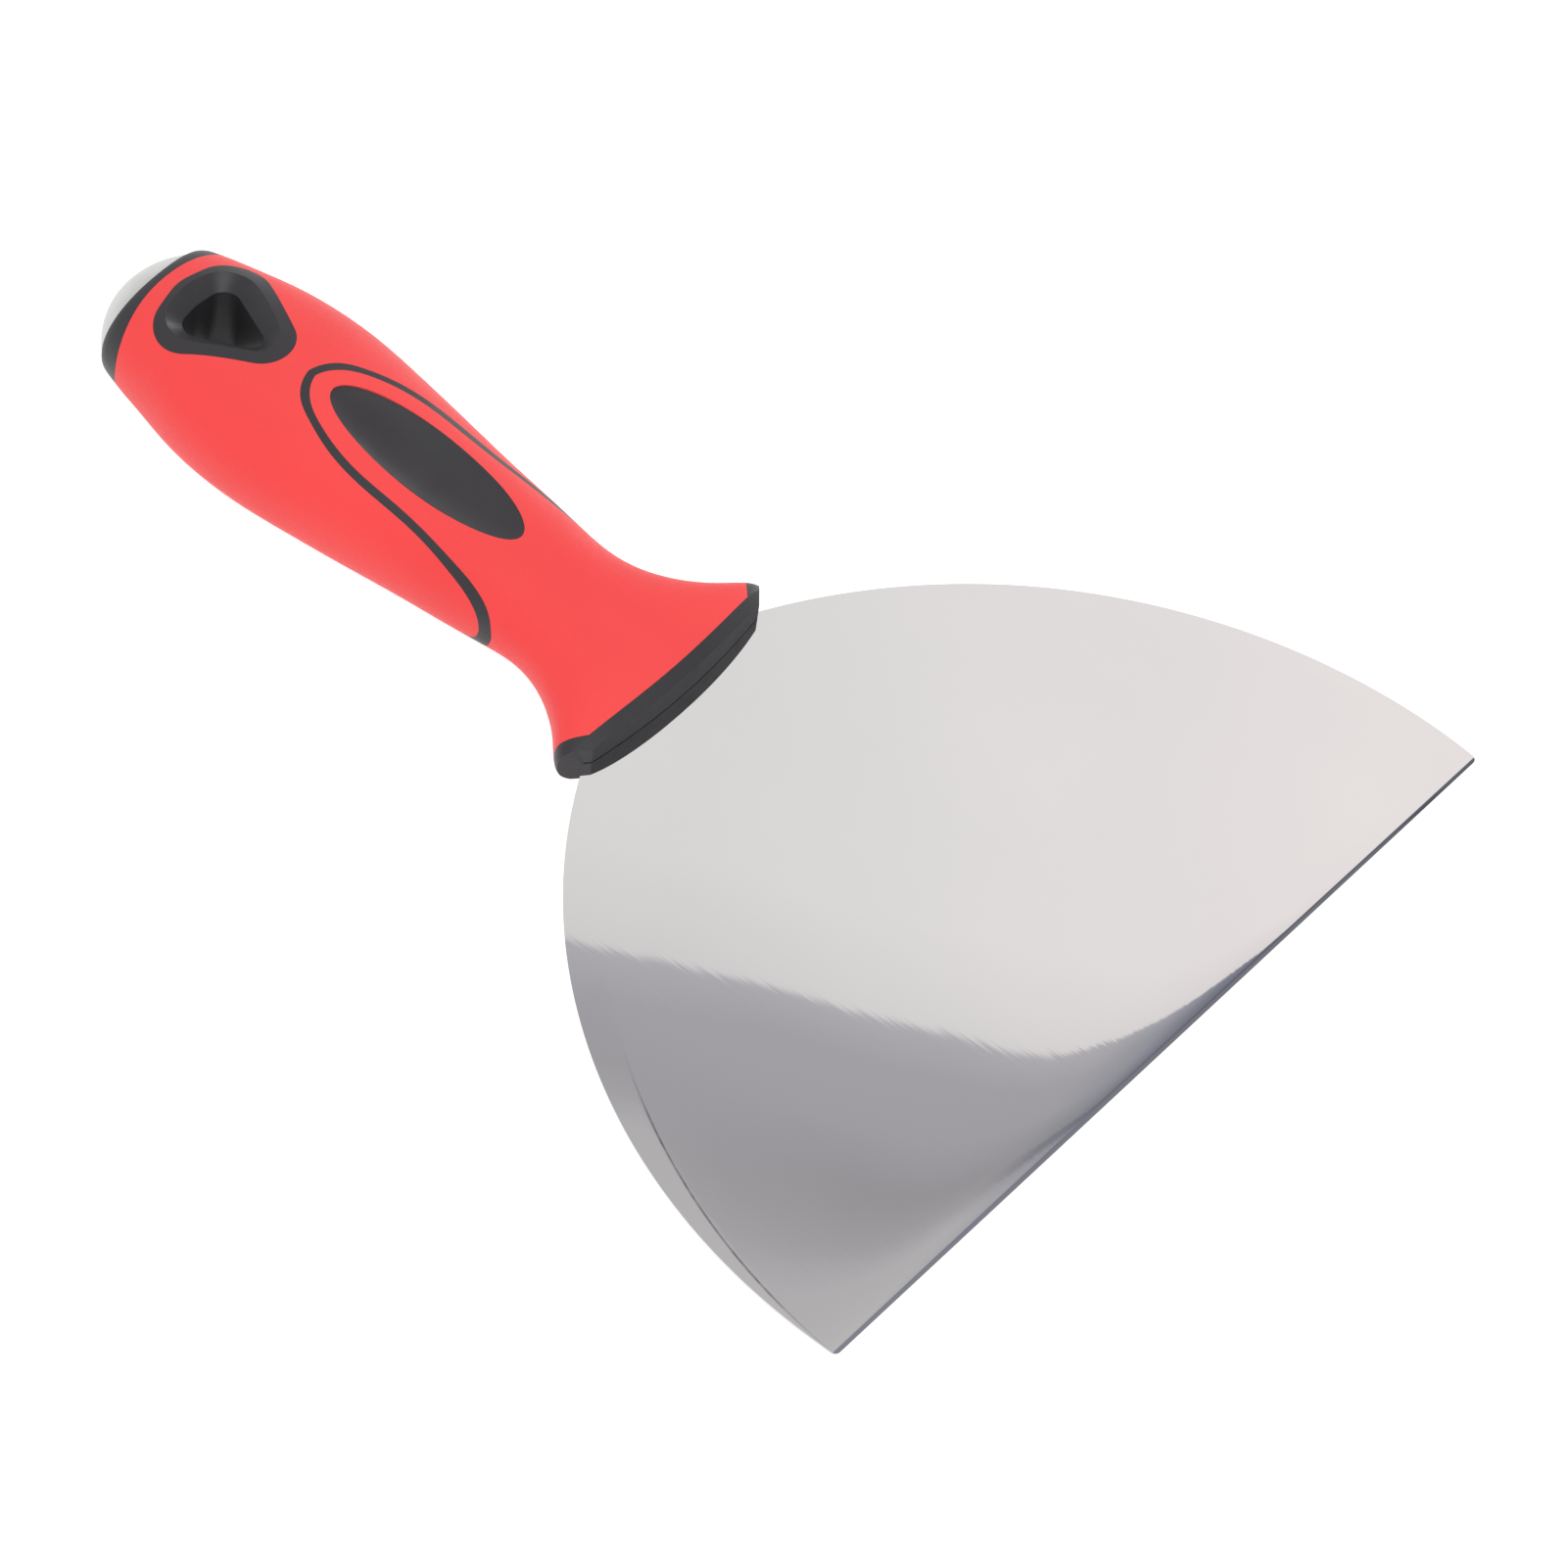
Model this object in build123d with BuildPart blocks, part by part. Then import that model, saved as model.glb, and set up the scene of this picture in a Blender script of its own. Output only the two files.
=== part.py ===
from build123d import *
import os
from math import cos, pi, radians, sin, sqrt, tan

# Flexible putty knife, millimetres.
# +X runs along the tool from the handle to the blade's front edge, +Y across it,
# +Z up out of the blade's face.  The origin is the centre of the bounding box,
# on the blade's mid-plane, so the tool is symmetric about Y = 0 and Z = 0.

# ---- driving dimensions --------------------------------------------------
total_length = 206.0
blade_width = 150.0
steel_thickness = 0.6

front_x = total_length / 2
butt_x = -total_length / 2

# Blade: two big arcs widen it from the handle to the straight front edge.
side_radius = 100.0
side_centre_setback = 6.4      # arc centres lie this far behind the front edge
blade_exposed = 93.55          # front edge to the handle's mouth, on the centre line
edge_bevel_length = 1.2
edge_bevel_height = 0.2
flex_gap = 0.4                 # room for the flex hinge between tang and blade

# Handle mouth: a convex front face between two slanted corners, with a bevel
# that widens towards the handle's surface.
mouth_x = front_x - blade_exposed
mouth_radius = 122.0
mouth_half_width = 19.1
mouth_corner_angle = 50.0      # degrees, from the -X direction
mouth_face_half_width = 21.2
mouth_face_half_height = 5.0
mouth_face_power = 2.2
mouth_bevel_angle = 33.3       # degrees, from the -X direction
mouth_bevel_depth = 6.0        # more than the bevel's reach behind the mouth
slot_clearance = 0.12
slot_relief_depth = 2.0

# Handle: super-ellipse sections (x, half width, half height, power).
handle_stations = [
    (-97.2, 12.2, 8.4, 2.3),
    (-96.2, 12.8, 8.85, 2.3),
    (-95.0, 13.15, 9.2, 2.3),
    (-92.0, 13.9, 9.9, 2.3),
    (-88.0, 14.7, 10.8, 2.3),
    (-82.0, 16.1, 11.5, 2.3),
    (-74.0, 17.3, 11.6, 2.3),
    (-65.0, 17.3, 11.6, 2.3),
    (-56.0, 16.2, 11.7, 2.3),
    (-46.0, 14.85, 11.3, 2.3),
    (-36.0, 13.5, 10.6, 2.3),
    (-27.0, 12.6, 9.75, 2.3),
    (-21.0, 12.05, 8.8, 2.3),
    (-15.0, 11.8, 7.7, 2.3),
    (-9.0, 13.1, 6.85, 2.35),
    (-3.0, 16.4, 6.5, 2.45),
    (0.0, 18.9, 6.35, 2.55),
    (2.5, 21.5, 6.25, 2.65),
    (5.0, 23.2, 6.2, 2.7),
    (11.0, 23.2, 6.2, 2.7),
]
section_points = 7             # points on a quarter of a section
skin_thickness = 2.0           # soft red skin over the hard core

# Where the red skin stops: behind the mouth, and in front of the butt.
collar_depth = 1.9             # black band behind the mouth, on the centre line
collar_corner = (6.2, 18.2)
collar_side = (2.3, 22.5)
band_x = -95.7                 # front of the butt's black band, on the centre line
band_radius = 37.0

# Black U-shaped line, one quarter of it.  It is drawn on the diagonal plane
# that faces the handle's upper right quarter: x along the tool, s around it.
line_rear_edge = [(-66.6, -14.0), (-66.6, -11.0), (-66.6, -8.2), (-64.6, -5.1), (-60.6, -3.05),
                  (-55.5, -1.3), (-48.9, 0.1), (-41.0, 0.85), (-34.5, 1.7), (-28.0, 3.35),
                  (-23.4, 5.15), (-21.1, 7.2), (-20.6, 9.5), (-20.6, 14.0)]
line_front_edge = [(-65.2, -14.0), (-65.2, -11.0), (-65.2, -8.2), (-62.9, -5.4), (-59.2, -3.65),
                   (-54.4, -2.2), (-48.5, -1.1), (-41.0, -0.45), (-34.5, 0.4), (-28.5, 1.6),
                   (-22.7, 3.3), (-19.4, 5.7), (-18.2, 9.0), (-18.2, 14.0)]

# Thumb pad: a dished oval on both faces.
pad_centre_x = -42.6
pad_half_length = 19.0
pad_half_width = 5.85
pad_trough_radius = 11.5
pad_trough_bottom = [(-68.0, 13.4), (-42.0, 8.9), (-16.0, 10.3)]   # x, z

# Hang hole: rounded triangles, each the hull of a rear circle, two rear corner
# circles and a nose circle, given as (rear tip x, rear radius, corner x, corner y,
# corner radius, nose tip x, nose radius).
hole_through = (-89.15, 4.5, -86.1, 2.6, 2.75, -76.2, 1.9)
hole_rim = (-93.0, 7.3, -86.4, 4.3, 6.0, -71.6, 4.6)
hole_ring = (-93.15, 8.0, -86.0, 4.1, 6.3, -70.85, 5.4)
hole_throat_z = 8.6            # height of the throat at hole_middle_x
hole_rim_z = 12.0              # height of the rim's outline at hole_middle_x
hole_middle_x = -82.0
hole_slope = 0.12              # the throat rises this much per millimetre of +X

# Tang: the part of the steel inside the handle, as (x, half width).
tang_outline = [(5.0, 7.0), (-15.0, 7.0), (-24.0, 8.5), (-64.0, 8.5), (-71.0, 10.8),
                (-88.0, 10.8), (-92.2, 4.0), (-96.4, 4.0)]
tang_fillet = 1.5
anchor_hole_radius = 2.5
anchor_hole_x = [-8.0, -25.0, -42.0, -59.0]
eye_margin = 2.2               # core wall between the hang hole and the tang

# Strike cap: a domed steel disc, a plug, and a slotted boss pinned to the tang.
cap_base_x = -97.2
dome_radii = (17.2, 16.1, 11.05)
plug_depth = 1.6
plug_half_width = 10.2
plug_half_height = 6.4
boss_front_x = -91.8
boss_half_width = 5.0
boss_half_height = 4.0
pin_radius = 1.25
pin_x = -94.0

# Sizes of the blocks that trim other shapes: beyond the handle, and beyond the tool.
beyond_handle = 60.0
beyond_tool = 2 * total_length


# ---- shared shapes -------------------------------------------------------
def quarter_section(half_width, half_height, power):
    """A quarter of the outline |y/w|^p + |z/h|^p = 1, closed along both axes."""
    points = []
    for step in range(section_points):
        angle = pi / 2 * step / (section_points - 1)
        points.append((half_width * cos(angle) ** (2 / power),
                       half_height * sin(angle) ** (2 / power)))
    Spline(*points, tangents=[(0, 1), (-1, 0)], tangent_scalars=(1, 1))
    Line((0, half_height), (0, 0))
    Line((0, 0), (half_width, 0))


def quarter_loft(stations):
    """The +Y +Z quarter of a form that passes through the given sections."""
    with BuildPart() as form:
        for x, half_width, half_height, power in stations:
            with BuildSketch(Plane.YZ.offset(x)):
                with BuildLine():
                    quarter_section(half_width, half_height, power)
                make_face()
        loft()
    return form.part


def rounded_triangle(rear_x, rear_radius, corner_x, corner_y, corner_radius, nose_x, nose_radius):
    """A rear circle, two rear corner circles and a nose circle, hulled."""
    with Locations((rear_x + rear_radius, 0)):
        Circle(rear_radius)
    with Locations((corner_x, corner_y), (corner_x, -corner_y)):
        Circle(corner_radius)
    with Locations((nose_x - nose_radius, 0)):
        Circle(nose_radius)
    make_hull()


def blade_lens():
    """The blade's plan between its two side arcs, in the current sketch."""
    centre_x = front_x - side_centre_setback
    centre_y = sqrt(side_radius**2 - side_centre_setback**2) - blade_width / 2
    with Locations((centre_x, centre_y)):
        Circle(side_radius)
    with Locations((centre_x, -centre_y)):
        Circle(side_radius, mode=Mode.INTERSECT)
    with Locations((front_x - side_radius, 0)):
        Rectangle(2 * side_radius, 2 * side_radius, mode=Mode.INTERSECT)


def pad_oval():
    """The thumb pad's plan, in the current sketch."""
    with Locations((pad_centre_x, 0)):
        Ellipse(pad_half_length, pad_half_width)


def throat_plane(height):
    """A plane over the hang hole, parallel to its throat, with the tool's x and y."""
    forward = Vector(1, 0, hole_slope).normalized()
    middle = Vector(hole_middle_x, 0, height)
    return Plane(origin=middle - hole_middle_x * forward, x_dir=forward, z_dir=(-hole_slope, 0, 1))


os.makedirs("parts", exist_ok=True)

# ---- blade: the exposed, flexing steel -----------------------------------
with BuildPart() as blade:
    with BuildSketch(Plane.XY.offset(-steel_thickness / 2)):
        blade_lens()
        with Locations((mouth_x + flex_gap - mouth_radius, 0)):
            Circle(mouth_radius, mode=Mode.SUBTRACT)
        with Locations((butt_x, 0)):
            Rectangle(total_length, blade_width, mode=Mode.SUBTRACT)
    extrude(amount=steel_thickness)
    front_face = blade.faces().sort_by(Axis.X)[-1]
    chamfer(front_face.edges().filter_by(Axis.Y), length=edge_bevel_height,
            length2=edge_bevel_length, reference=front_face)
blade.part.label = "blade"
export_step(blade.part, "parts/blade.step")

# ---- the handle's outer form, with its mouth, one quarter ------------------
corner_x = mouth_x - mouth_radius + sqrt(mouth_radius**2 - mouth_half_width**2)
mouth_corner = (corner_x, mouth_half_width)
slant_end = (corner_x - beyond_handle,
             mouth_half_width + beyond_handle * tan(radians(mouth_corner_angle)))

with BuildPart() as mouth_prism:
    with BuildSketch():
        with BuildLine():
            ThreePointArc((corner_x, -mouth_half_width), (mouth_x, 0), mouth_corner)
            Polyline(mouth_corner, slant_end, (-beyond_tool, slant_end[1]), (-beyond_tool, -slant_end[1]),
                     (slant_end[0], -slant_end[1]), (corner_x, -mouth_half_width))
        make_face()
    extrude(amount=beyond_handle)

bevel_growth = tan(radians(mouth_bevel_angle))
bevel_stations = []
for forward in (mouth_bevel_depth, 0, -mouth_bevel_depth):
    bevel_stations.append((mouth_x + forward, mouth_face_half_width - forward * bevel_growth,
                           mouth_face_half_height - forward * bevel_growth, mouth_face_power))

with BuildPart() as bevel_waste:
    with Locations((mouth_x, 0, 0)):
        Box(mouth_bevel_depth, beyond_handle, beyond_handle, align=(Align.MAX, Align.MIN, Align.MIN))
    add(quarter_loft(bevel_stations), mode=Mode.SUBTRACT)

with BuildPart() as outer:
    add(quarter_loft(handle_stations))
    add(mouth_prism.part, mode=Mode.INTERSECT)
    add(bevel_waste.part, mode=Mode.SUBTRACT)

# ---- windows: where the hard black core comes through the red skin ---------
with BuildPart() as windows:
    # collar behind the mouth
    with BuildSketch():
        with BuildLine():
            ThreePointArc((collar_corner[0], -collar_corner[1]), (mouth_x - collar_depth, 0), collar_corner)
            Polyline(collar_corner, collar_side, (collar_side[0], beyond_handle),
                     (beyond_handle, beyond_handle), (beyond_handle, -beyond_handle),
                     (collar_side[0], -beyond_handle), (collar_side[0], -collar_side[1]),
                     (collar_corner[0], -collar_corner[1]))
        make_face()
    # band in front of the butt
    with BuildSketch():
        with Locations((band_x, 0)):
            Rectangle(beyond_handle, beyond_handle)
        with Locations((band_x + band_radius, 0)):
            Circle(band_radius, mode=Mode.SUBTRACT)
        with Locations((band_x + beyond_handle, 0)):
            Rectangle(2 * beyond_handle - band_radius, beyond_handle, mode=Mode.SUBTRACT)
    # ring round the hang hole, and thumb pad
    with BuildSketch():
        rounded_triangle(*hole_ring)
    with BuildSketch():
        pad_oval()
    extrude(amount=beyond_handle)
    # the U-shaped line
    diagonal = Plane(origin=(0, 0, 0), x_dir=(1, 0, 0), z_dir=(0, 1, 1))
    with BuildSketch(diagonal):
        with BuildLine():
            rear_edge = Spline(*line_rear_edge)
            front_edge = Spline(*line_front_edge)
            Line(rear_edge @ 0, front_edge @ 0)
            Line(rear_edge @ 1, front_edge @ 1)
        make_face()
    extrude(amount=beyond_handle)
    # only the +Y +Z quarter
    Box(beyond_tool, beyond_handle, beyond_handle,
        align=(Align.CENTER, Align.MIN, Align.MIN), mode=Mode.INTERSECT)

# ---- red skin, one quarter ---------------------------------------------------
inner_stations = []
for x, half_width, half_height, power in handle_stations:
    inner_stations.append((x, half_width - skin_thickness, half_height - skin_thickness, power))

with BuildPart() as skin:
    add(outer.part)
    add(quarter_loft(inner_stations), mode=Mode.SUBTRACT)
    add(windows.part, mode=Mode.SUBTRACT)

rear_skin, front_skin = skin.solids().sort_by(Axis.X)

with BuildPart() as grip_rear:
    add(rear_skin)
    mirror(about=Plane.XZ)
    mirror(about=Plane.XY)
grip_rear.part.label = "grip_rear"
export_step(grip_rear.part, "parts/grip_rear.step")

with BuildPart() as grip_front:
    add(front_skin)
    mirror(about=Plane.XZ)
    mirror(about=Plane.XY)
grip_front.part.label = "grip_front"
export_step(grip_front.part, "parts/grip_front.step")

# ---- tang ---------------------------------------------------------------------
with BuildPart() as blade_tang:
    with BuildSketch(Plane.XY.offset(-steel_thickness / 2)):
        blade_lens()
        with Locations((mouth_x - mouth_radius, 0)):
            Circle(mouth_radius, mode=Mode.INTERSECT)
        upper_side = tang_outline
        lower_side = [(x, -y) for x, y in reversed(tang_outline)]
        with BuildLine():
            FilletPolyline(*upper_side, *lower_side, radius=tang_fillet, close=True)
        make_face()
        with Locations(*[(x, 0) for x in anchor_hole_x]):
            Circle(anchor_hole_radius, mode=Mode.SUBTRACT)
        with Locations((pin_x, 0)):
            Circle(pin_radius, mode=Mode.SUBTRACT)
        with BuildSketch(mode=Mode.SUBTRACT):
            rounded_triangle(*hole_through)
            offset(amount=eye_margin)
    extrude(amount=steel_thickness)
blade_tang.part.label = "blade_tang"
export_step(blade_tang.part, "parts/blade_tang.step")

# ---- pin that holds the cap's boss on the tang -----------------------------------
with BuildPart() as cap_pin:
    with BuildSketch(Plane.XY.offset(-boss_half_height)):
        with Locations((pin_x, 0)):
            Circle(pin_radius)
    extrude(amount=2 * boss_half_height)
cap_pin.part.label = "cap_pin"
export_step(cap_pin.part, "parts/cap_pin.step")

# ---- strike cap: ellipsoid dome, plug and slotted boss ----------------------------
with BuildPart() as strike_cap:
    with Locations((butt_x / dome_radii[0] + 1, 0, 0)):
        Sphere(1)
    scale(by=dome_radii)
    split(bisect_by=Plane.YZ.offset(cap_base_x), keep=Keep.BOTTOM)
    with BuildSketch(Plane.YZ.offset(cap_base_x)):
        Ellipse(plug_half_width, plug_half_height)
    extrude(amount=plug_depth)
    with Locations((cap_base_x, 0, 0)):
        Box(boss_front_x - cap_base_x, 2 * boss_half_width, 2 * boss_half_height,
            align=(Align.MIN, Align.CENTER, Align.CENTER))
    add(blade_tang.part, mode=Mode.SUBTRACT)
    add(cap_pin.part, mode=Mode.SUBTRACT)
strike_cap.part.label = "strike_cap"
export_step(strike_cap.part, "parts/strike_cap.step")

# ---- core ---------------------------------------------------------------------------
with BuildPart() as pad_dish:
    with BuildLine() as trough_line:
        ThreePointArc(*[(x, 0, z + pad_trough_radius) for x, z in pad_trough_bottom])
    with BuildSketch(Plane(origin=trough_line.line @ 0, z_dir=trough_line.line % 0)):
        Circle(pad_trough_radius)
    sweep()
    with BuildSketch():
        pad_oval()
    extrude(amount=beyond_handle, mode=Mode.INTERSECT)

with BuildPart() as hang_hole:
    with BuildSketch():
        rounded_triangle(*hole_through)
    extrude(amount=beyond_handle)
    with BuildSketch(throat_plane(hole_throat_z)):
        rounded_triangle(*hole_through)
    with BuildSketch(throat_plane(hole_rim_z)):
        rounded_triangle(*hole_rim)
    loft()

with BuildPart() as slot_relief:
    with BuildSketch():
        blade_lens()
        with Locations((mouth_x - slot_relief_depth - mouth_radius, 0)):
            Circle(mouth_radius, mode=Mode.SUBTRACT)
    extrude(amount=steel_thickness / 2 + slot_clearance)

with BuildPart() as core_quarter:
    add(outer.part)
    add(skin.part, mode=Mode.SUBTRACT)
    add(pad_dish.part, mode=Mode.SUBTRACT)
    add(hang_hole.part, mode=Mode.SUBTRACT)
    add(slot_relief.part, mode=Mode.SUBTRACT)

with BuildPart() as handle_core:
    add(core_quarter.part)
    mirror(about=Plane.XZ)
    mirror(about=Plane.XY)
    add(blade_tang.part, mode=Mode.SUBTRACT)
    add(strike_cap.part, mode=Mode.SUBTRACT)
    add(cap_pin.part, mode=Mode.SUBTRACT)
handle_core.part.label = "handle_core"
export_step(handle_core.part, "parts/handle_core.step")
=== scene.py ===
from math import cos, exp, pi, radians, sin, sqrt

import bmesh
import bpy
from mathutils import Matrix, Vector


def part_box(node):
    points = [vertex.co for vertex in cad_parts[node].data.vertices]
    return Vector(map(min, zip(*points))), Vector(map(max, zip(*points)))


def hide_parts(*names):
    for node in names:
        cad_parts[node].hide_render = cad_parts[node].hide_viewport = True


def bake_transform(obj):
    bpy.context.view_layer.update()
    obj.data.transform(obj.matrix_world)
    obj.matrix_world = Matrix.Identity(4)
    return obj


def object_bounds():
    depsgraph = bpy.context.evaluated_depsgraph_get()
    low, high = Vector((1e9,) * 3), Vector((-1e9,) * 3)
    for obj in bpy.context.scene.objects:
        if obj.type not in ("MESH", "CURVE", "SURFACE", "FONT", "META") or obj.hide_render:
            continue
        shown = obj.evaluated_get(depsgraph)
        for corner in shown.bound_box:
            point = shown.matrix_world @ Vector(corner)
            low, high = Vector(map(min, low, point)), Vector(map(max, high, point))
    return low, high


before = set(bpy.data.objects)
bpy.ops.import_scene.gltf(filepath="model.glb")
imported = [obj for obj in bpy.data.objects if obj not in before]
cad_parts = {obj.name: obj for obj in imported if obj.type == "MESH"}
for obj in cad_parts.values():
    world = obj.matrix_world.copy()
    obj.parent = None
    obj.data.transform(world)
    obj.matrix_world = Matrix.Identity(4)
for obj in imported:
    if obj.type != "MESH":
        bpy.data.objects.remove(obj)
cad_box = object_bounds()
scene = bpy.context.scene
MM = 0.001

# The arcs of the blade's outline, as in the CAD model.  The blade's width and
# thickness, its front edge and its mouth come from the frame.
MOUTH_RADIUS = 122 * MM
SIDE_RADIUS = 100 * MM
SIDE_CENTRE_SETBACK = 6.4 * MM  # the side arcs' centres lie this far behind the front edge
SETTLING_ROUNDS = 12            # to find where the mouth arc and a line along the blade meet

# The visible blade's edges, where the CAD blade has a plain chamfer and sharp corners.
EDGE_DROP = 0.145 * MM          # each face curves down this much to the front edge...
EDGE_DROP_REACH = 3.2 * MM      # ...and most of it over this stretch
EDGE_FACET = 0.60 * MM          # the last stretch of each face is honed steeper
EDGE_FACET_SLOPE = 0.09
LEAST_THICKNESS = 0.25          # no edge is thinner than this share of the steel
CORNER_RADIUS = 0.9 * MM        # rounding of the blade's two front corners
RIM_ANGLE = radians(30)         # the sheet's edges are sharper than this, its faces smoother

# The flat that grinding leaves along each curved side.  It widens backwards from nothing
# at the front corner to GRIND_WIDTH at GRIND_START behind it, and fades out past there.
GRIND_WIDTH = 4.6 * MM
GRIND_START = 46 * MM
GRIND_FADE = 22 * MM
GRIND_SLOPE = 0.022
GRIND_SHADE_LINE_WIDTH = 0.26 * MM    # of the fine dark line of painted shade where the flat begins
GRIND_SHADE_LINE_FADE = 16 * MM       # the line fades out over this much towards the corner
GRIND_SHADE_LINE_FALLOFF = 4          # and backwards it fades sooner than the flat, by this power

# The faint waviness that polishing leaves: two crossing waves.
WAVE_HEIGHT = 0.0009 * MM
WAVES = [(47 * MM, 31 * MM), (83 * MM, -22 * MM)]  # how far along X and Y each one repeats
WAVE_FADE = 20 * MM             # they grow over this much in front of the mouth...
WAVE_AT_MOUTH = 0.2             # ...from this share of their height

# The card that the blade mirrors, and the room round it.
CARD_DISTANCE = 1.3
CARD_HALF_WIDTH = 0.70
CARD_PLAIN_HALF_WIDTH = 0.48    # beyond this the card fades into the room
CARD_RAMP_SPAN = 0.4            # its colour ramps run from its middle over this distance
CARD_TILT = 0.085               # slope of its picture, which rises to the right
CARD_UNEVENNESS = 0.002         # of the lines in its picture, up and down
CARD_BORDER = (0.0668, 0.0684)  # from wall to ceiling, in metres above the card's middle
ROOM_WHITE = (1.0, 1.0, 1.0)
ROOM_OVERHEAD = (0.62, 0.62, 0.64)
FLOOR_RADIUS = 5.0

NOISE_LOW = 0.3                 # nearly all of a noise lies between these two values
NOISE_HIGH = 0.7


# ---- node materials ----------------------------------------------------------
class Nodes:
    """A node tree under construction."""

    def __init__(self, tree):
        self.tree = tree

    def feed(self, socket, value):
        """Gives a socket what it reads: another socket, a number, a vector or a colour."""
        if isinstance(value, bpy.types.NodeSocket):
            self.tree.links.new(value, socket)
        elif socket.type == "RGBA":
            socket.default_value = (*value, 1.0)
        else:
            socket.default_value = value

    def add(self, kind, inputs, **settings):
        """A new node, with these inputs fed, by name or number, and these settings made."""
        node = self.tree.nodes.new("ShaderNode" + kind)
        for name, setting in settings.items():
            setattr(node, name, setting)
        for name, value in inputs.items():
            self.feed(node.inputs[name], value)
        return node

    def between(self, factor, low, high, from_min=NOISE_LOW, from_max=NOISE_HIGH):
        """A number that goes from low to high as factor goes from from_min to from_max."""
        inputs = {"Value": factor, "From Min": from_min, "From Max": from_max,
                  "To Min": low, "To Max": high}
        return self.add("MapRange", inputs).outputs["Result"]

    def colours(self, factor, stops):
        """A colour ramp with the given (place, colour) stops."""
        ramp = self.add("ValToRGB", {"Fac": factor})
        elements = ramp.color_ramp.elements
        while len(elements) < len(stops):
            elements.new(1.0)
        for element, (place, colour) in zip(elements, stops):
            element.position = place
            element.color = (*colour, 1.0)
        return ramp.outputs["Color"]

    def math(self, operation, first, second=0.0):
        """The result of a Math node on two numbers or sockets."""
        return self.add("Math", {0: first, 1: second}, operation=operation).outputs["Value"]

    def mixed(self, factor, first, second):
        """The first colour where factor is 0, the second where it is 1."""
        inputs = {"Fac": factor, "Color1": first, "Color2": second}
        return self.add("MixRGB", inputs).outputs["Color"]

    def tinted(self, first, second):
        """One colour multiplied by another."""
        inputs = {"Fac": 1.0, "Color1": first, "Color2": second}
        return self.add("MixRGB", inputs, blend_type="MULTIPLY").outputs["Color"]


class Shader(Nodes):
    """A material under construction, with patterns that are fixed to its object."""

    def __init__(self, name):
        self.material = bpy.data.materials.new(name)
        self.material.use_nodes = True
        super().__init__(self.material.node_tree)
        self.surface = self.tree.nodes["Principled BSDF"]
        self.place = self.add("TexCoord", {}).outputs["Object"]

    def noise(self, scale, detail=3.0, stretch=(1, 1, 1)):
        """The height of a noise, from 0 to 1, at so many cells per metre."""
        mapping = self.add("Mapping", {"Vector": self.place, "Scale": stretch})
        inputs = {"Vector": mapping.outputs["Vector"], "Scale": scale, "Detail": detail}
        return self.add("TexNoise", inputs).outputs["Fac"]

    def tones(self, noise, dark, light):
        """A colour that goes from dark to light with a noise."""
        return self.colours(noise, [(NOISE_LOW, dark), (NOISE_HIGH, light)])

    def attribute(self, name):
        """A number that the mesh holds at each of its points."""
        return self.add("Attribute", {}, attribute_name=name).outputs["Fac"]

    def bump(self, height, depth, below=None):
        """A bump of that depth in metres, on top of another bump if one is given."""
        node = self.add("Bump", {"Strength": 1.0, "Distance": depth, "Height": height})
        if below is not None:
            self.feed(node.inputs["Normal"], below)
        return node.outputs["Normal"]

    def finish(self, **sockets):
        """Feeds the surface's own sockets, with spaces in their names as underscores."""
        for name, value in sockets.items():
            self.feed(self.surface.inputs[name.replace("_", " ")], value)
        return self.material

    def glow(self, colour):
        """Puts plain light of that colour in place of the surface."""
        light = self.add("Emission", {"Color": colour}).outputs["Emission"]
        self.feed(self.tree.nodes["Material Output"].inputs["Surface"], light)
        self.tree.nodes.remove(self.surface)
        return self.material


def grip_rubber():
    """Soft red skin: matte, very finely textured, with a dusty sheen at grazing angles."""
    shader = Shader("grip_rubber")
    cloud = shader.noise(45.0, 4.0)
    grain = shader.noise(4200.0, 2.0)
    speckle = shader.noise(1500.0)
    relief = shader.bump(grain, 0.010 * MM)
    return shader.finish(Base_Color=shader.tones(cloud, (0.660, 0.042, 0.043), (0.695, 0.047, 0.047)),
                         Roughness=shader.between(speckle, 0.50, 0.62),
                         Normal=shader.bump(speckle, 0.014 * MM, relief),
                         Specular_IOR_Level=0.22,
                         Sheen_Weight=0.10, Sheen_Roughness=0.45, Sheen_Tint=(1.0, 0.80, 0.80))


def core_plastic():
    """Hard black plastic with a fine spark-eroded mould texture."""
    shader = Shader("core_plastic")
    cloud = shader.noise(60.0, 4.0)
    texture = shader.noise(2600.0)
    worn = shader.noise(220.0, 5.0)
    return shader.finish(Base_Color=shader.tones(cloud, (0.0215, 0.0195, 0.0225), (0.0260, 0.0240, 0.0275)),
                         Roughness=shader.between(worn, 0.40, 0.50),
                         Normal=shader.bump(texture, 0.016 * MM),
                         Specular_IOR_Level=0.31)


def cap_metal():
    """The strike cap's plated steel: light, satin, with the faint dents of a peened surface."""
    shader = Shader("cap_metal")
    dents = shader.noise(420.0, 2.0)
    fine = shader.noise(3800.0)
    cloud = shader.noise(150.0, 4.0)
    relief = shader.bump(dents, 0.020 * MM)
    return shader.finish(Base_Color=shader.tones(cloud, (0.500, 0.496, 0.490), (0.545, 0.541, 0.534)),
                         Metallic=1.0,
                         Roughness=shader.between(fine, 0.40, 0.52),
                         Normal=shader.bump(fine, 0.006 * MM, relief))


def pin_steel():
    """Plain drawn steel wire."""
    shader = Shader("pin_steel")
    drawn = shader.noise(2500.0, 2.0, stretch=(1, 1, 0.05))
    return shader.finish(Base_Color=shader.tones(drawn, (0.50, 0.50, 0.51), (0.60, 0.60, 0.61)),
                         Metallic=1.0,
                         Roughness=shader.between(drawn, 0.28, 0.42),
                         Normal=shader.bump(drawn, 0.004 * MM))


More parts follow.
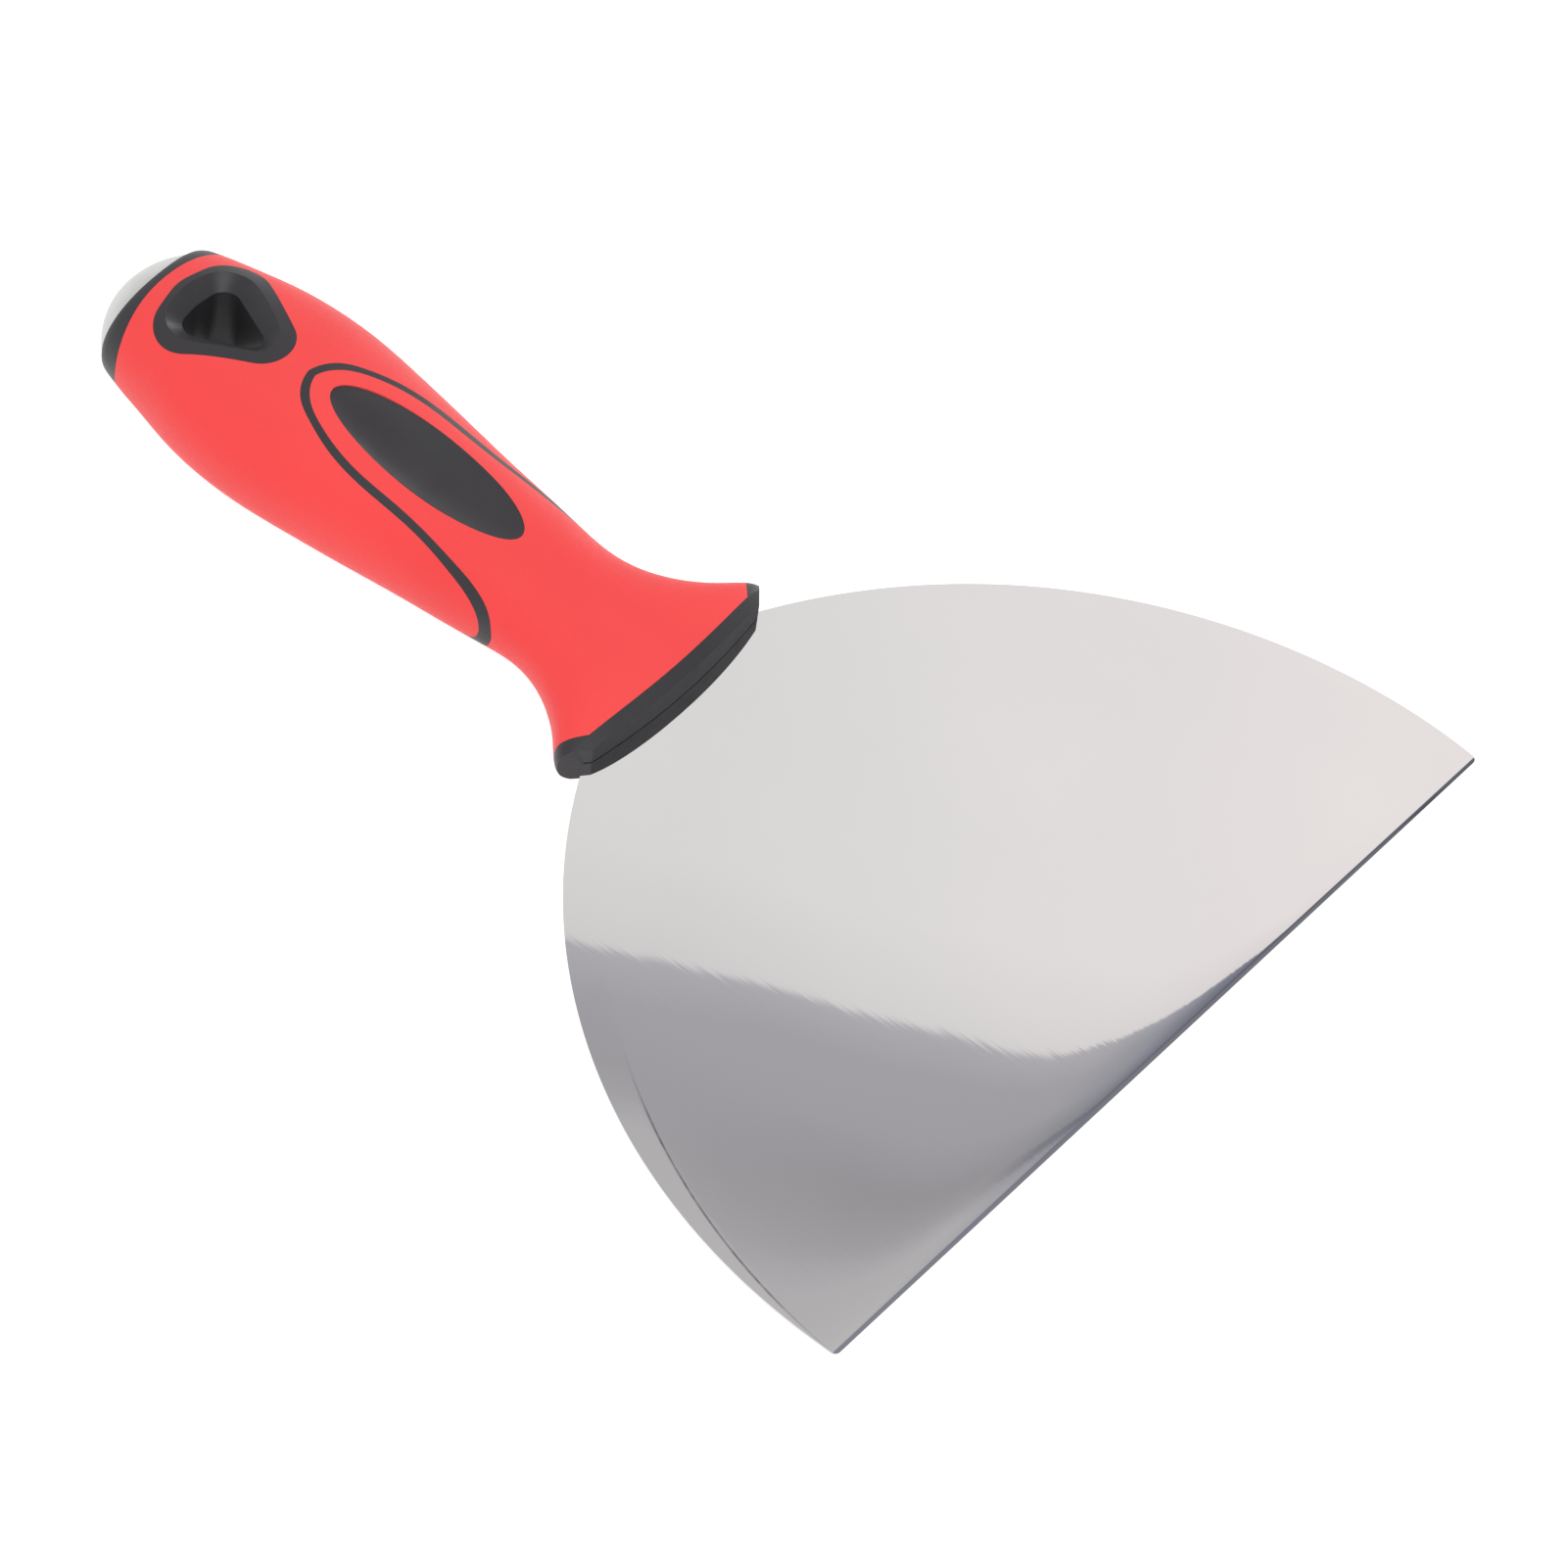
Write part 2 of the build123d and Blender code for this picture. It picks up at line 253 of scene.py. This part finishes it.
def blade_steel():
    """Mirror-polished spring steel, with the hairline streaks that polishing leaves lengthwise, and a line
    of painted shade along one side's ground flat.
    """
    shader = Shader("blade_steel")
    streak = shader.noise(420.0, 4.0, stretch=(0.045, 1.5, 1))
    hairline = shader.noise(2200.0, 2.0, stretch=(0.03, 1, 1))
    cloud = shader.noise(28.0, 4.0, stretch=(0.7, 1, 1))
    tint = shader.tones(cloud, (0.625, 0.620, 0.622), (0.645, 0.639, 0.638))
    # Painted shade: a dark line darkens the steel's colour along the edge of one side's ground flat.
    from_line = shader.math("ABSOLUTE", shader.attribute("past_grind_line"))
    broken = shader.between(shader.noise(600.0), 0.55, 1.0)
    line = shader.math("MULTIPLY", shader.between(from_line, 1.0, 0.0, 0.3, 1.0), broken)
    line = shader.math("MULTIPLY", line, shader.attribute("grind_line_painted_shade"))
    painted_crease_shade = shader.colours(line, [(0.0, (1, 1, 1)), (1.0, (0.34, 0.33, 0.37))])
    relief = shader.bump(hairline, 0.00016 * MM)
    return shader.finish(Base_Color=shader.tinted(tint, painted_crease_shade),
                         Metallic=1.0,
                         Roughness=shader.between(streak, 0.011, 0.019),
                         Normal=shader.bump(streak, 0.00065 * MM, relief))


# ---- blade ----------------------------------------------------------------------
class BladeForm:
    """Where the blade lies: its front edge, mouth arc and side arcs, and the height of its faces."""

    def __init__(self):
        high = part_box("blade")[1]
        self.front_x = high.x
        self.mouth_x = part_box("blade_tang")[1].x
        self.half_thickness = high.z
        self.widest_x = self.front_x - SIDE_CENTRE_SETBACK
        self.widest = high.y

    def half_width(self, x):
        """From the centre line to the side arc, less the rounding of the front corner."""
        arc = self.widest - SIDE_RADIUS + sqrt(SIDE_RADIUS ** 2 - (x - self.widest_x) ** 2)
        past = max(0.0, x - (self.front_x - CORNER_RADIUS))
        return arc - CORNER_RADIUS + sqrt(CORNER_RADIUS ** 2 - past ** 2)

    def mouth(self, share):
        """How far forward the mouth arc is, at that share of the way out to the side."""
        x = self.mouth_x
        for _ in range(SETTLING_ROUNDS):
            y = share * self.half_width(x)
            x = self.mouth_x - MOUTH_RADIUS + sqrt(MOUTH_RADIUS ** 2 - y ** 2)
        return x

    def past_grind_line(self, x, y):
        """How far a point lies outside the line where the ground flat along the side begins."""
        behind = self.front_x - x
        width = GRIND_WIDTH * behind / GRIND_START
        return width - (self.half_width(x) - abs(y))

    def grind_strength(self, x):
        """1 along the front part of the sides, fading to 0 behind it."""
        behind = self.front_x - x
        return max(0.0, min(1.0, 1 - (behind - GRIND_START) / GRIND_FADE))

    def line_strength(self, x, y):
        """How dark the painted shade line along the flat's edge is, which only one side has."""
        if y > 0:
            return 0.0
        return min(self.grind_strength(x) ** GRIND_SHADE_LINE_FALLOFF, (self.front_x - x) / GRIND_SHADE_LINE_FADE)

    def waviness(self, x, y, side):
        """How far the waves dip, as a multiple of WAVE_HEIGHT: 0 where both waves are highest."""
        crossing = sum(sin(2 * pi * (x / along + y / across) + side * number)
                       for number, (along, across) in enumerate(WAVES))
        return (len(WAVES) - crossing) * min(1.0, (x - self.mouth_x) / WAVE_FADE + WAVE_AT_MOUTH)

    def height(self, x, y, side):
        """From the mid-plane to the upper face, where side is 1, or to the lower one, at -1."""
        behind = self.front_x - x
        fall = EDGE_DROP * exp(-behind / EDGE_DROP_REACH)
        fall += EDGE_FACET_SLOPE * max(0.0, EDGE_FACET - behind)
        fall += GRIND_SLOPE * max(0.0, self.past_grind_line(x, y)) * self.grind_strength(x)
        fall += WAVE_HEIGHT * self.waviness(x, y, side)
        return max(LEAST_THICKNESS * self.half_thickness, self.half_thickness - fall)


def packed(count, power):
    """Numbers from 0 to 1, closer together towards 1."""
    return [1 - (1 - step / count) ** power for step in range(count + 1)]


def blade_sheet(form):
    """The blade as one closed sheet, with a fine grid on both faces."""
    rows = packed(count=120, power=1.6)
    one_side = packed(count=75, power=1.5)
    shares = [-share for share in reversed(one_side[1:])] + one_side
    mesh = bmesh.new()
    past_line = mesh.verts.layers.float.new("past_grind_line")
    # painted shade: how dark the line along the ground flat's edge is drawn, on one side only
    line_strength = mesh.verts.layers.float.new("grind_line_painted_shade")
    grid = {}
    for i, along in enumerate(rows):
        for j, share in enumerate(shares):
            start = form.mouth(share)
            x = start + along * (form.front_x - start)
            y = share * form.half_width(x)
            for side in (1, -1):
                vertex = mesh.verts.new((x, y, side * form.height(x, y, side)))
                vertex[past_line] = form.past_grind_line(x, y) / GRIND_SHADE_LINE_WIDTH
                vertex[line_strength] = form.line_strength(x, y)
                grid[side, i, j] = vertex
    last_row = len(rows) - 1
    last_share = len(shares) - 1
    for side in (1, -1):
        for i in range(last_row):
            for j in range(last_share):
                corners = [grid[side, i, j], grid[side, i + 1, j],
                           grid[side, i + 1, j + 1], grid[side, i, j + 1]]
                mesh.faces.new(corners if side > 0 else corners[::-1])
    rim = [(i, 0) for i in range(last_row)]
    rim += [(last_row, j) for j in range(last_share)]
    rim += [(i, last_share) for i in range(last_row, 0, -1)]
    rim += [(0, j) for j in range(last_share, 0, -1)]
    for here, there in zip(rim, rim[1:] + rim[:1]):
        mesh.faces.new((grid[1, *here], grid[-1, *here], grid[-1, *there], grid[1, *there]))
    mesh.normal_update()
    for face in mesh.faces:
        face.smooth = True
    for edge in mesh.edges:
        edge.smooth = edge.calc_face_angle(0.0) < RIM_ANGLE
    return mesh


def mesh_object(name, mesh, material):
    """Turns a finished bmesh into an object of the scene."""
    data = bpy.data.meshes.new(name)
    mesh.to_mesh(data)
    mesh.free()
    data.materials.append(material)
    thing = bpy.data.objects.new(name, data)
    scene.collection.objects.link(thing)
    return thing


def add_blade(material):
    """The visible blade, one sheet from the handle's mouth to its front edge, in place of the CAD blade."""
    form = BladeForm()
    blade = mesh_object("flexible_blade", blade_sheet(form), material)
    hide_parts("blade")
    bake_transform(blade)


# ---- camera, floor and light --------------------------------------------------------
def add_camera():
    """A long lens that looks down at the blade from in front and to one side.

    Returns the direction that it looks in.
    """
    target = Vector((0.0310, -0.0018, 0.0))
    distance = 1.6423
    azimuth = radians(33.394)
    elevation = radians(52.552)
    roll = radians(8.744)
    back = Vector((sin(azimuth) * cos(elevation), -cos(azimuth) * cos(elevation), sin(elevation)))
    data = bpy.data.cameras.new("camera")
    data.sensor_width = 36.0
    data.lens = 253.2
    data.clip_start = 0.01
    data.clip_end = 100.0
    camera = bpy.data.objects.new("camera", data)
    scene.collection.objects.link(camera)
    turn = (-back).to_track_quat("-Z", "Y").to_matrix() @ Matrix.Rotation(roll, 3, "Z")
    camera.matrix_world = Matrix.Translation(target + back * distance) @ turn.to_4x4()
    scene.camera = camera
    return -back


def add_floor():
    """A plain white floor under the handle's belly, a little lit from below as on a light table."""
    shader = Shader("floor_white")
    tint = shader.tones(shader.noise(3.0), (0.41, 0.41, 0.412), (0.43, 0.43, 0.43))
    material = shader.finish(Base_Color=tint, Roughness=0.9, Specular_IOR_Level=0.1,
                             Emission_Color=ROOM_WHITE, Emission_Strength=0.85)
    mesh = bmesh.new()
    bmesh.ops.create_circle(mesh, cap_ends=True, segments=96, radius=FLOOR_RADIUS)
    floor = mesh_object("floor", mesh, material)
    floor.location.z = cad_box[0].z


def card_ceiling(shader, width, height):
    """The ceiling in the card's picture: grey, with a darker hollow, a beam and a doorway."""
    ceiling = shader.colours(height, [
        (0.17, (0.640, 0.630, 0.665)), (0.20, (0.560, 0.550, 0.580)), (0.25, (0.535, 0.525, 0.555)),
        (0.29, (0.530, 0.520, 0.543)), (0.33, (0.570, 0.560, 0.582)), (0.37, (0.670, 0.660, 0.672)),
        (0.45, (0.710, 0.700, 0.704)), (0.75, (0.900, 0.890, 0.890)), (1.00, (1.000, 1.000, 1.000))])
    hollow = shader.colours(height, [
        (0.24, (1.00, 1.00, 1.00)), (0.28, (0.89, 0.89, 0.89)), (0.30, (0.90, 0.90, 0.90)),
        (0.35, (1.00, 1.00, 1.00))])
    beam = shader.colours(height, [
        (0.29, (1.00, 1.00, 1.00)), (0.30, (0.72, 0.72, 0.75)), (0.315, (0.72, 0.72, 0.75)),
        (0.33, (1.00, 1.00, 1.00))])
    doorway = shader.colours(width, [
        (0.32, (1.00, 1.00, 1.00)), (0.42, (0.82, 0.85, 0.90)), (0.50, (0.52, 0.55, 0.64)),
        (0.60, (0.37, 0.39, 0.47)), (1.00, (0.38, 0.39, 0.44))])
    hollow = shader.mixed(shader.between(width, 0.0, 1.0, 0.02, 0.15), ROOM_WHITE, hollow)
    beam = shader.mixed(shader.between(width, 0.0, 1.0, 0.29, 0.38), ROOM_WHITE, beam)
    return shader.tinted(shader.tinted(ceiling, hollow), shader.tinted(beam, doorway))


def card_wall(shader, width, height):
    """The wall in the card's picture: bright, and brighter and pinker to the right."""
    wall = shader.colours(height, [
        (0.00, (1.080, 1.066, 1.056)), (0.10, (1.060, 1.050, 1.040)), (0.17, (0.960, 0.950, 0.944))])
    pinker = shader.colours(width, [
        (0.00, (1.000, 1.000, 1.000)), (0.17, (1.060, 1.050, 1.055)), (0.45, (1.140, 1.095, 1.100))])
    return shader.tinted(wall, pinker)


def card_picture():
    """A glowing picture of a bright wall and a greyer ceiling above it, in a plain white room."""
    shader = Shader("reflection_card")
    parts = shader.add("SeparateXYZ", {"Vector": shader.place}).outputs
    right = parts["X"]
    up = parts["Y"]
    uneven = shader.between(shader.noise(14.0), -CARD_UNEVENNESS, CARD_UNEVENNESS)
    rise = shader.math("MULTIPLY", right, -CARD_TILT)
    level = shader.math("ADD", shader.math("ADD", up, uneven), rise)
    height = shader.between(level, 0.0, 1.0, 0.0, CARD_RAMP_SPAN)
    width = shader.between(right, 0.0, 1.0, 0.0, CARD_RAMP_SPAN)
    above_border = shader.between(level, 0.0, 1.0, *CARD_BORDER)
    picture = shader.mixed(above_border, card_wall(shader, width, height),
                           card_ceiling(shader, width, height))
    inside_rims = [
        shader.between(shader.math("ABSOLUTE", part), 1.0, 0.0, CARD_PLAIN_HALF_WIDTH, CARD_HALF_WIDTH)
        for part in (right, up)]
    return shader.glow(shader.mixed(shader.math("MULTIPLY", *inside_rims), ROOM_WHITE, picture))


def add_reflection_card(view_direction):
    """Stands the card where the blade mirrors it to the camera.  Only mirrored light sees it."""
    mirrored = Vector((view_direction.x, view_direction.y, -view_direction.z))
    across = mirrored.cross(Vector((0, 0, 1))).normalized()
    turn = Matrix((across, across.cross(mirrored), -mirrored)).transposed()
    mesh = bmesh.new()
    bmesh.ops.create_grid(mesh, x_segments=1, y_segments=1, size=CARD_HALF_WIDTH)
    card = mesh_object("reflection_card", mesh, card_picture())
    card.matrix_world = Matrix.Translation(mirrored * CARD_DISTANCE) @ turn.to_4x4()
    for ray in ("camera", "diffuse", "transmission", "volume_scatter", "shadow"):
        setattr(card, "visible_" + ray, False)


def add_area_light(name, place, size, watts):
    """A round soft light, turned towards the tool."""
    data = bpy.data.lights.new(name, "AREA")
    data.shape = "DISK"
    data.size = size
    data.energy = watts
    light = bpy.data.objects.new(name, data)
    light.location = place
    light.rotation_euler = (-Vector(place)).to_track_quat("-Z", "Y").to_euler()
    light.visible_camera = False
    scene.collection.objects.link(light)


def add_room():
    """Even white light from all round, with soft lights above and behind.

    Glossy surfaces mirror a room that is greyer overhead.
    """
    world = bpy.data.worlds.new("white_room")
    world.use_nodes = True
    nodes = Nodes(world.node_tree)
    direction = nodes.add("TexCoord", {}).outputs["Generated"]
    upwards = nodes.add("SeparateXYZ", {"Vector": direction}).outputs["Z"]
    mirrored = nodes.colours(upwards, [(0.15, ROOM_WHITE), (0.85, ROOM_OVERHEAD)])
    glossy_ray = nodes.add("LightPath", {}).outputs["Is Glossy Ray"]
    background = nodes.tree.nodes["Background"]
    nodes.feed(background.inputs["Color"], nodes.mixed(glossy_ray, ROOM_WHITE, mirrored))
    nodes.feed(background.inputs["Strength"], 1.0)
    scene.world = world
    scene.view_settings.view_transform = "Standard"
    add_area_light("overhead", place=(0.45, -0.55, 1.6), size=1.2, watts=14.0)
    add_area_light("behind", place=(-0.24, 1.38, 0.18), size=0.25, watts=2.4)


# ---- finishes for the CAD nodes -----------------------------------------------------
def paint(node, material):
    """Gives a CAD node its material, in place of the ones it had."""
    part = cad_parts[node]
    part.data.materials.clear()
    part.data.materials.append(material)


steel = blade_steel()
rubber = grip_rubber()
paint("handle_core", core_plastic())
paint("grip_rear", rubber)
paint("grip_front", rubber)
paint("strike_cap", cap_metal())
paint("cap_pin", pin_steel())
paint("blade_tang", steel)
add_blade(steel)

view_direction = add_camera()
add_floor()
add_reflection_card(view_direction)
add_room()
